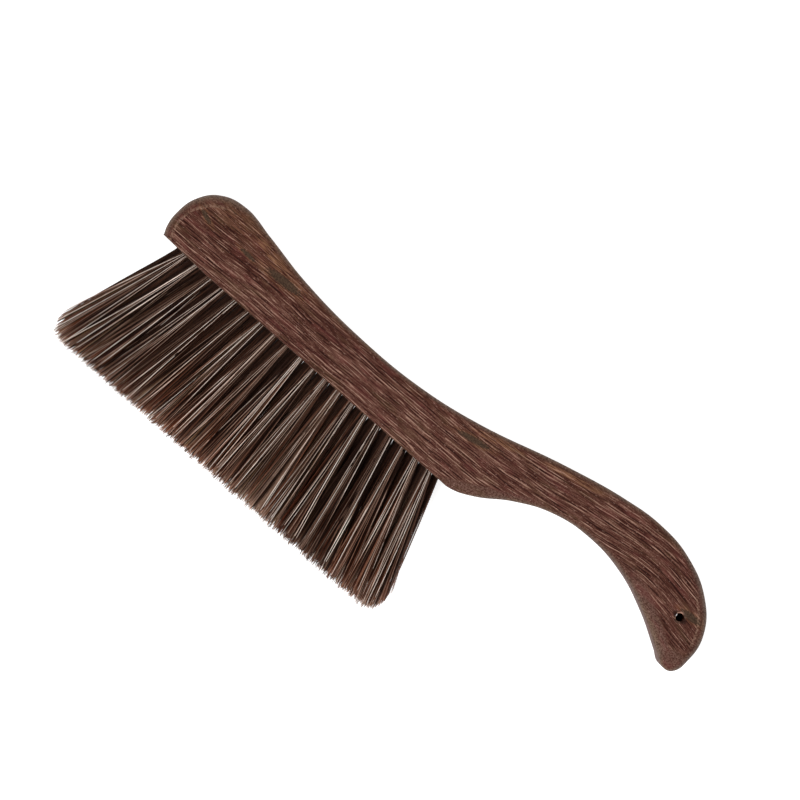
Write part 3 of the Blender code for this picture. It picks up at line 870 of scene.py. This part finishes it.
def strand_bristles(rng):
    """The bristles of a tuft's strands: one dictionary of arrays, one entry a bristle."""
    column, layer = np.meshgrid(np.arange(STRANDS_ALONG), np.arange(STRANDS_ACROSS))
    strands = column.size
    u = (column.ravel() + 0.5 + rng.uniform(*STRAND_JITTER, strands)) / STRANDS_ALONG * 2 - 1
    v = (layer.ravel() + 0.5 + rng.uniform(*STRAND_JITTER, strands)) / STRANDS_ACROSS * 2 - 1
    tip_u = u + rng.normal(0.0, 0.05, strands)
    wild = rng.random(strands) < WILD_SHARE
    tip_u[wild] += rng.normal(0.0, 0.35, wild.sum())
    kind = rng.random(strands)
    dark, middling, pale = [rng.uniform(*tones, strands) for tones in STRAND_TONES]
    tone = np.where(kind < DARK_SHARE, dark, middling)
    tone = np.where(kind > 1.0 - PALE_SHARE, pale, tone)
    hue = rng.normal(0.0, 0.28, strands)
    bow = rng.normal(0.0, 0.35 * MM, strands)
    short = rng.normal(*STRAND_SHORT, strands)
    early = rng.random(strands) < EARLY_SHARE
    short[early] += rng.uniform(*EARLY_SHORT, early.sum())

    pick = np.repeat(np.arange(strands), BRISTLES_PER_STRAND)
    count = pick.size
    rank = np.tile(np.arange(BRISTLES_PER_STRAND), strands)
    off_u = rng.normal(0.0, 0.025, count) * rank
    off_v = rng.normal(0.0, 0.08, count)
    place_v = np.clip((v[pick] + off_v) * STRAND_DEPTH, -STRAND_DEPTH, STRAND_DEPTH)
    bow = bow[pick] + rng.normal(0.0, 0.06 * MM, count)
    # painted shade: the second bristle of each strand is darker, as the strand's shadow side
    shade = np.where(rank == 0, 1.0, rng.uniform(*SHADOW_SIDE_TONE, count))
    return dict(
        u=np.clip(u[pick] + off_u, -1.0, 1.0),
        v=place_v,
        tip_u=np.clip(tip_u[pick] + off_u, -1.1, 1.1),
        tip_v=place_v,
        bow=bow,
        tone=np.clip(tone[pick] * shade, 0.0, 0.9),
        onset=np.full(count, UNCHANGED),
        tight=np.ones(count),
        sheen_end=rng.uniform(0.9, 1.6, count),
        hue=hue[pick] + rng.normal(0.0, 0.08, count),
        radius=BRISTLE_RADIUS * rng.uniform(0.85, 1.25, count),
        short=short[pick] + rank * rng.uniform(0.4 * MM, 1.3 * MM, count),
    )


# Coarse bristles on the open sides of the outer rows: pale ones, partly pale hairs and partly
# # painted highlights of glossy hairs, some of them dark at the root, each with a dark partner
# beside
# # it as its painted shadow, and a few more dark ones
PALE_BRISTLES = (4, 7)
LATE_PALE_BRISTLES = 2  # those that are pale further down only
DARK_BRISTLES = 3  # besides the partners
# painted shadow: how far a pale bristle's dark partner sits beside it
SHADOW_PARTNER_SHIFT = 0.09
COARSE_RADIUS = 0.21 * MM
PALE_V = (0.96, 1.0)
DARK_V = (0.92, 0.95)
COARSE_PALE_TONES = (0.60, 1.0)  # of the weakest and of the strongest
COARSE_PALE_RADII = (0.6, 1.3)
LATE_ONSET = (0.08, 0.5)


def coarse_bristles(rng, side, pale_count):
    """Coarse bristles on a tuft's open side, which is -1 or 1."""
    lines = pale_count + LATE_PALE_BRISTLES
    late = rng.permutation(lines) >= pale_count
    u = (np.arange(lines) + rng.uniform(0.1, 0.9, lines)) / lines * 2 - 1
    tip_u = np.clip(0.9 * u + rng.normal(0.0, 0.28, lines), -1.05, 1.05)
    bow = rng.normal(0.0, 0.4 * MM, lines)
    short = rng.uniform(-0.5 * MM, 5.0 * MM, lines)
    strength = rng.random(lines)
    dark_u = rng.uniform(-1.0, 1.0, DARK_BRISTLES)
    dark = lines + DARK_BRISTLES
    count = lines + dark
    v = np.concatenate((rng.uniform(*PALE_V, lines), rng.uniform(*DARK_V, dark)))
    dark_tip_u = dark_u + rng.normal(0.0, 0.1, DARK_BRISTLES)
    tip_v = np.concatenate((rng.uniform(*PALE_V, lines), rng.uniform(*DARK_V, dark)))
    tip_u = np.concatenate((tip_u, tip_u + SHADOW_PARTNER_SHIFT, dark_tip_u))
    dark_tone = rng.uniform(0.0, 0.08, dark)
    onset = np.where(late, rng.uniform(*LATE_ONSET, lines), UNCHANGED)
    pale_radius = mix(*COARSE_PALE_RADII, strength)
    return dict(
        # the dark partners sit just beside the pale bristles as their painted shadows
        u=np.concatenate((u, u + SHADOW_PARTNER_SHIFT, dark_u)),
        v=side * v,
        tip_u=tip_u,
        tip_v=side * tip_v,
        bow=np.concatenate((bow, bow, np.zeros(DARK_BRISTLES))),
        # the pale tones are partly pale hairs and partly painted highlights
        tone=np.concatenate((mix(*COARSE_PALE_TONES, strength), dark_tone)),
        onset=np.concatenate((onset, np.full(dark, UNCHANGED))),
        tight=np.zeros(count),
        sheen_end=rng.uniform(0.66, 1.36, count),
        hue=rng.normal(0.0, 0.08, count),
        radius=COARSE_RADIUS * np.concatenate((pale_radius, rng.uniform(0.8, 1.2, dark))),
        short=np.concatenate((short, short, np.full(DARK_BRISTLES, 1.0 * MM))),
    )


def stray_bristles(rng, count):
    """Bristles that lean away from their tuft."""
    u = rng.uniform(-1.0, 1.0, count)
    v = rng.choice((-1.0, 1.0), count) * rng.uniform(0.7, 1.0, count)
    return dict(
        u=u,
        v=v,
        tip_u=np.clip(u + rng.normal(0.0, 0.5, count), -1.2, 1.2),
        tip_v=v,
        bow=rng.normal(0.0, 0.7 * MM, count),
        tone=rng.uniform(0.3, 0.95, count),
        onset=np.full(count, UNCHANGED),
        tight=np.ones(count),
        sheen_end=rng.uniform(0.8, 1.6, count),
        hue=rng.normal(0.0, 0.15, count),
        radius=BRISTLE_RADIUS * rng.uniform(0.9, 1.3, count),
        short=rng.uniform(-0.8 * MM, 2.0 * MM, count),
    )


STRAY_BRISTLES = 3

# The brush's own shading and redness along its length: (tuft number, change)
SHADE_ALONG = (
    (0, 0.06), (2, -0.05), (4, -0.02), (6, 0.04), (9, 0.03), (11, 0.05), (13, 0.10),
    (14.5, -0.08), (16.5, -0.09), (18, 0.03), (20, 0.07),
)
RED_ALONG = (
    (0, -0.04), (1, 0.06), (3, 0.02), (6, 0.08), (9, 0.20), (10, 0.20), (11.5, -0.06), (13, 0.0),
    (14.5, 0.08), (16, 0.0), (18, 0.14), (20, 0.12),
)
USUAL_PALE_SHARE = 0.45  # of the way from the fewest pale bristles to the most
PALE_PER_SHADE = 5.0
PALE_FROM = 0.56  # bristles of a paler tone keep it in every tuft
NEUTRAL_HUE = 0.5


def along_brush(points, number, row):
    """A property of the whole brush at one tuft, from points along its length."""
    place = number if row == MIDDLE_ROW else number + 0.5
    return np.interp(place, *zip(*points))


def bristle_plan(rng, row, number):
    """All bristles of one tuft. The open sides of the outer rows have the coarse ones."""
    shade = along_brush(SHADE_ALONG, number, row) + rng.normal(0.0, 0.01)
    red = along_brush(RED_ALONG, number, row) + rng.normal(0.0, 0.04)
    groups = [strand_bristles(rng), stray_bristles(rng, STRAY_BRISTLES)]
    if row != MIDDLE_ROW:
        pale_count = round(mix(*PALE_BRISTLES, USUAL_PALE_SHARE + PALE_PER_SHADE * shade))
        groups.append(coarse_bristles(rng, float(row - MIDDLE_ROW), pale_count))
    plan = {key: np.concatenate([group[key] for group in groups]) for key in groups[0]}
    plan["hue"] += NEUTRAL_HUE + red
    shaded = np.clip(plan["tone"] + shade, 0.0, 1.0)
    plan["tone"] = np.where(plan["tone"] < PALE_FROM, shaded, plan["tone"])
    return plan


def square_to_disc(u, v):
    """Maps a square from -1 to 1 onto a disc of radius 1, keeping neighbours together."""
    return u * np.sqrt(1.0 - v * v / 2), v * np.sqrt(1.0 - u * u / 2)


def trimmed_length(x):
    """The bristle length at x: flat, and rounded off at both ends of the brush."""
    past = np.abs(x - MIDDLE_X) - (TIPS_REACH - TIP_CORNER_RADIUS)
    past = np.clip(past, 0.0, TIP_CORNER_RADIUS)
    return BRISTLE_LENGTH - TIP_CORNER_RADIUS + np.sqrt(TIP_CORNER_RADIUS ** 2 - past ** 2)


def bristle_paths(plan, row, x, z):
    """Points down every bristle, from inside the wood to its tip: (bristle, ring, xyz)."""
    outer = row != MIDDLE_ROW
    root_radius, root_shift = OUTER_ROOT if outer else MIDDLE_ROOT
    tip_pitch = OUTER_TIP_PITCH if outer else TIP_PITCH
    tip_x, tip_z = tip_place(x, z, tip_pitch)
    disc_u, disc_v = square_to_disc(plan["u"], plan["v"])
    start_x = x + root_shift + disc_u * root_radius
    start_z = z + disc_v * root_radius
    faces_a_row = plan["tip_v"] * (row - MIDDLE_ROW) <= 0
    spread = plan["tip_v"] * np.where(faces_a_row, ROWS_MINGLE, 1.0)
    end_x = tip_x + plan["tip_u"] * tip_pitch / 2
    end_x = np.clip(end_x, MIDDLE_X - TIPS_REACH, MIDDLE_X + TIPS_REACH)
    end_z = tip_z + spread * TIP_ROW_SPACING / 2
    length = trimmed_length(end_x) - np.maximum(plan["short"], -LONGEST_OVERHANG)

    sway = np.outer(plan["bow"], np.sin(math.pi * RING_SHARES))
    paths = np.empty((length.size, BRISTLE_RINGS, 3))
    paths[:, :, 0] = start_x[:, None] + np.outer(end_x - start_x, RING_SHARES) + sway
    paths[:, :, 1] = np.outer(length, -RING_SHARES)
    paths[:, 0, 1] = TUFT_DEPTH
    paths[:, :, 2] = start_z[:, None] + np.outer(end_z - start_z, RING_SHARES)
    paths[:, :, 2] = np.clip(paths[:, :, 2], LOWEST_BRISTLE, HIGHEST_BRISTLE)
    return paths


# How tone and hue change down a bristle. Lengths are shares of the bristle's length.
ROOT_TONE = 0.12  # of a bristle that turns pale further down
ONSET_LENGTH = 0.15
# painted highlight: pale bristles lose their painted gloss down the bristle and end at this tone
SHEEN_GONE_TONE = 0.48
SHEEN_FADE_LENGTH = 0.25
TIGHT_TONE = 0.46  # of the strands where they crowd together at the wood
TIGHT_LENGTH = 0.22
# painted shade: the middle row is darker at the wood, where the outer rows shade it
MIDDLE_ROW_PAINTED_SHADE = 0.64  # of the middle row at the wood, between the others
MIDDLE_ROW_SHADE_LENGTH = 0.4
TIPS_START = 0.72
TIP_LIFT = 0.05
TIP_LIFT_OF_TONE = 0.32
ROOT_HUE_SHARE = 0.5  # hues show more towards the tips
TIPS_REDDEN_FROM = 0.5
TIP_RED = 0.08


def passed(share, start, end):
    """How far the share has come on its way from start to end: 0 to 1."""
    return np.clip((share - start) / (end - start), 0.0, 1.0)


def bristle_shades(plan, row):
    """The tone and hue of every bristle at every ring."""
    share = RING_SHARES[None, :]
    plain, hue, onset, sheen_end, tight = (
        plan[key][:, None] for key in ("tone", "hue", "onset", "sheen_end", "tight")
    )
    tone = mix(ROOT_TONE, plain, passed(share, onset, onset + ONSET_LENGTH))
    # painted highlight on the pale bristles, fading out down the bristle
    sheen_faded = mix(tone, SHEEN_GONE_TONE, passed(share, sheen_end - SHEEN_FADE_LENGTH, sheen_end))
    tone = np.where(tone > PALE_FROM, sheen_faded, tone)
    crowded = mix(TIGHT_TONE, tone, passed(share, 0.0, TIGHT_LENGTH))
    tone = np.where(tight > 0.5, crowded, tone)
    # painted shade on the middle row near the wood, between the outer rows
    if row == MIDDLE_ROW:
        tone = tone * mix(MIDDLE_ROW_PAINTED_SHADE, 1.0, passed(share, 0.0, MIDDLE_ROW_SHADE_LENGTH))
    tone = tone + (TIP_LIFT + TIP_LIFT_OF_TONE * tone) * passed(share, TIPS_START, 1.0)
    hue = NEUTRAL_HUE + (hue - NEUTRAL_HUE) * (ROOT_HUE_SHARE + share ** 2)
    return tone, hue + TIP_RED * passed(share, TIPS_REDDEN_FROM, 1.0)


TAPER_STARTS = 0.8
TAPER = 0.45  # the share of its radius that a bristle loses at the tip
TAPER_POWER = 1.5


def bristle_arrays(row, number, x, z):
    """Tapering three-sided bristles around their paths, closed at both ends."""
    rng = np.random.default_rng(1000 * (row + 1) + number)
    plan = bristle_plan(rng, row, number)
    paths = bristle_paths(plan, row, x, z)
    tone, hue = bristle_shades(plan, row)
    count = len(paths)
    at_tip = passed(np.linspace(0.0, 1.0, BRISTLE_RINGS), TAPER_STARTS, 1.0)
    radius = np.outer(plan["radius"], 1.0 - TAPER * at_tip ** TAPER_POWER)
    turn = 2 * math.pi * np.arange(BRISTLE_SIDES) / BRISTLE_SIDES + math.pi / 2
    circle = np.stack((np.cos(turn), np.zeros(BRISTLE_SIDES), np.sin(turn)), axis=1)
    verts = paths[:, :, None, :] + radius[:, :, None, None] * circle

    side = np.arange(BRISTLE_SIDES)
    after = (side + 1) % BRISTLE_SIDES
    low = np.arange(BRISTLE_RINGS - 1)[:, None] * BRISTLE_SIDES
    high = low + BRISTLE_SIDES
    quads = np.stack((low + side, high + side, high + after, low + after), axis=-1)
    caps = np.stack((side, high[-1] + side[::-1]))
    start = (np.arange(count) * BRISTLE_RINGS * BRISTLE_SIDES)[:, None, None]
    quads = (quads.reshape(1, -1, 4) + start).reshape(-1, 4)
    caps = (caps + start).reshape(-1, BRISTLE_SIDES)
    return dict(
        verts=verts.reshape(-1, 3) + np.array(BASE),
        quads=quads,
        caps=caps,
        tone=np.repeat(tone.ravel(), BRISTLE_SIDES),
        hue=np.repeat(hue.ravel(), BRISTLE_SIDES),
    )


def bristle_mesh(name, parts):
    """Joins the bristles of one or two tufts into one mesh."""
    starts = np.cumsum([0] + [len(part["verts"]) for part in parts])
    verts = np.concatenate([part["verts"] for part in parts])
    quads = np.concatenate([part["quads"] + start for part, start in zip(parts, starts)])
    caps = np.concatenate([part["caps"] + start for part, start in zip(parts, starts)])
    mesh = bpy.data.meshes.new(name)
    mesh.vertices.add(len(verts))
    mesh.vertices.foreach_set("co", verts.ravel())
    loops = np.concatenate((quads.ravel(), caps.ravel()))
    mesh.loops.add(loops.size)
    mesh.loops.foreach_set("vertex_index", loops.astype(np.int32))
    sizes = np.concatenate((np.full(len(quads), 4), np.full(len(caps), BRISTLE_SIDES)))
    loop_starts = np.cumsum(sizes) - sizes
    mesh.polygons.add(sizes.size)
    mesh.polygons.foreach_set("loop_start", loop_starts.astype(np.int32))
    for layer in ("tone", "hue"):
        values = np.concatenate([part[layer] for part in parts])
        attribute = mesh.attributes.new(layer, "FLOAT", "POINT")
        attribute.data.foreach_set("value", values.astype(np.float32))
    mesh.update(calc_edges=True)
    mesh.validate()
    mesh.shade_smooth()
    return mesh


def add_bristles(node, tufts, material):
    """The bristles that stand for one CAD node, which holds one tuft or two."""
    name = node + "_bristles"
    parts = [bristle_arrays(*tuft) for tuft in tufts]
    piece = add_object(name, bristle_mesh(name, parts), material)
    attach(piece, BODY)
    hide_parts(node)


def make_bristles(material):
    places = tuft_places()
    for row, side in enumerate(("lower", "middle", "upper")):
        tufts = [place for place in places if place[0] == row]
        doubles = DOUBLE_TUFTS if row == MIDDLE_ROW else ()
        for number in range(1, len(tufts) + 1):
            if number - 1 in doubles:
                continue
            if number in doubles:
                node = f"{side}_row_double_tuft_{number:02d}_{number + 1:02d}"
                add_bristles(node, tufts[number - 1:number + 1], material)
            else:
                add_bristles(f"{side}_row_tuft_{number:02d}", tufts[number - 1:number], material)


# Camera, floor and light

VIEW_TURN = math.radians(41.26)  # the brush's length runs this far clockwise in the view
VIEW_CENTRE = Vector((136.2 * MM, 17.2 * MM, 22 * MM))
VIEW_HEIGHT = 1.180
LENS = 105.0
CLIP_END = 10.0
WHITE = (1.0, 1.0, 1.0, 1.0)
FLOOR_COLOUR = (0.6, 0.6, 0.6, 1.0)
FLOOR_GAP = 0.1 * MM
FLOOR_SIZE = 6.0
FLOOR_ROUGHNESS = 0.9
FLOOR_GLOW = 0.8
WORLD_STRENGTH = 0.42
LIGHTS = (  # name, place, size and power
    ("key", (-0.25, -0.75, 1.55), 0.5, 20.0),
    ("fill", (0.6, 0.7, 1.5), 1.0, 6.0),
)


def make_camera():
    camera = bpy.data.cameras.new("camera")
    camera.lens = LENS
    camera.clip_end = CLIP_END
    obj = link("camera", camera)
    obj.location = BASE + VIEW_CENTRE + Vector((0.0, 0.0, VIEW_HEIGHT))
    obj.rotation_euler = (0.0, 0.0, VIEW_TURN)
    bpy.context.scene.camera = obj


def make_floor():
    shader = Shader("pale_floor")
    shader.inputs["Base Color"].default_value = FLOOR_COLOUR
    shader.inputs["Roughness"].default_value = FLOOR_ROUGHNESS
    shader.inputs["Emission Color"].default_value = WHITE
    shader.inputs["Emission Strength"].default_value = FLOOR_GLOW
    place = (0.0, 0.0, wood_low.z - FLOOR_GAP)
    bpy.ops.mesh.primitive_plane_add(size=FLOOR_SIZE, location=place)
    floor = bpy.context.object
    floor.name = "floor"
    floor.data.materials.append(shader.material)


def make_lights():
    """A white world, and square soft lights that face the brush."""
    world = bpy.data.worlds.new("studio")
    world.use_nodes = True
    background = world.node_tree.nodes["Background"].inputs
    background["Color"].default_value = WHITE
    background["Strength"].default_value = WORLD_STRENGTH
    bpy.context.scene.world = world
    for name, place, size, power in LIGHTS:
        light = bpy.data.lights.new(name, "AREA")
        light.size = size
        light.energy = power
        obj = link(name, light)
        obj.location = place
        obj.rotation_euler = (-Vector(place)).to_track_quat("-Z", "Y").to_euler()


make_camera()
make_floor()
make_lights()
make_body(wood_material())
make_bristles(bristle_material())
bpy.context.scene.view_settings.view_transform = "Standard"
